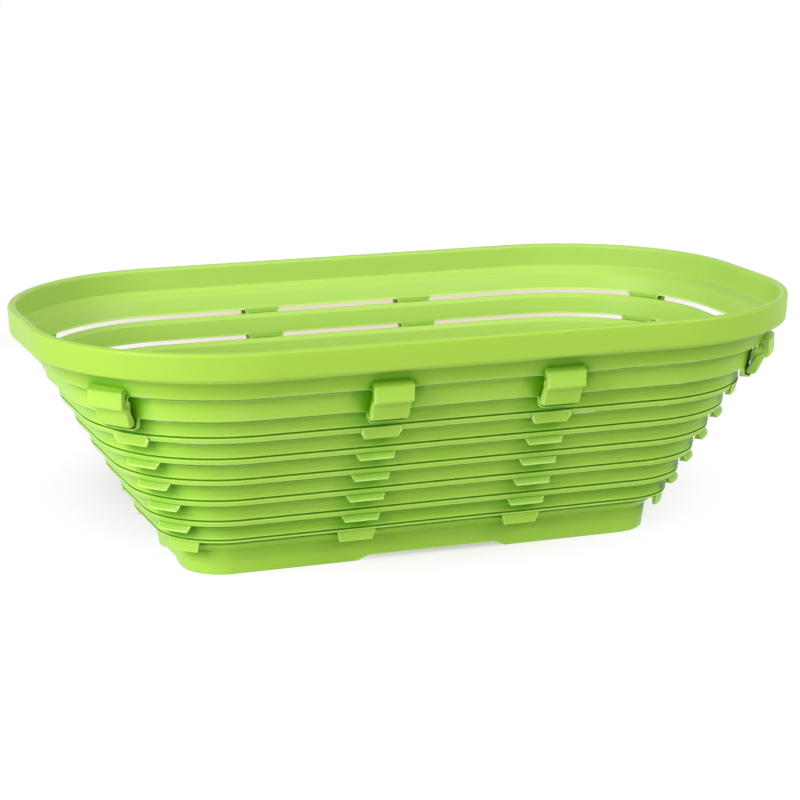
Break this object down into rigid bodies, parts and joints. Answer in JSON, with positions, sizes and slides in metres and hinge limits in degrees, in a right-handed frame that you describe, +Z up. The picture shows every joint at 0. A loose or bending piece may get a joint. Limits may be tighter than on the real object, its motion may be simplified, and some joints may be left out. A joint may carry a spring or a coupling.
{
  "type": "proofing basket",
  "caption": "Oblong collapsible proofing basket: flared plastic rings slide up out of a flat base, hook together with open slots between them and carry a banded rim with clips.",
  "frame": {"origin": "middle of the footprint, on the table under the base", "axes": "+X along the length of the basket, +Y across it, +Z up"},
  "size_m": [0.3006, 0.1736, 0.0965],
  "materials": {
    "lime_plastic": "satin moulded plastic, lime green"
  },
  "bodies": {
    "base": {"base": "lime_plastic"},
    "ring_7": {"ring_7": "lime_plastic"},
    "ring_6": {"ring_6": "lime_plastic"},
    "ring_5": {"ring_5": "lime_plastic"},
    "ring_4": {"ring_4": "lime_plastic"},
    "ring_3": {"ring_3": "lime_plastic"},
    "ring_2": {"ring_2": "lime_plastic"},
    "rim": {"rim": "lime_plastic", "ring_1": "lime_plastic"}
  },
  "joints": [
    {"name": "ring_7_slide", "type": "slide", "parent": "base", "child": "ring_7", "axis": [0, 0, 1], "range_m": [-0.0098, 0]},
    {"name": "ring_6_slide", "type": "slide", "parent": "ring_7", "child": "ring_6", "axis": [0, 0, 1], "range_m": [-0.0076, 0]},
    {"name": "ring_5_slide", "type": "slide", "parent": "ring_6", "child": "ring_5", "axis": [0, 0, 1], "range_m": [-0.0093, 0]},
    {"name": "ring_4_slide", "type": "slide", "parent": "ring_5", "child": "ring_4", "axis": [0, 0, 1], "range_m": [-0.0093, 0]},
    {"name": "ring_3_slide", "type": "slide", "parent": "ring_4", "child": "ring_3", "axis": [0, 0, 1], "range_m": [-0.0093, 0]},
    {"name": "ring_2_slide", "type": "slide", "parent": "ring_3", "child": "ring_2", "axis": [0, 0, 1], "range_m": [-0.0093, 0]},
    {"name": "rim_slide", "type": "slide", "parent": "ring_2", "child": "rim", "axis": [0, 0, 1], "range_m": [-0.0093, 0]}
  ]
}
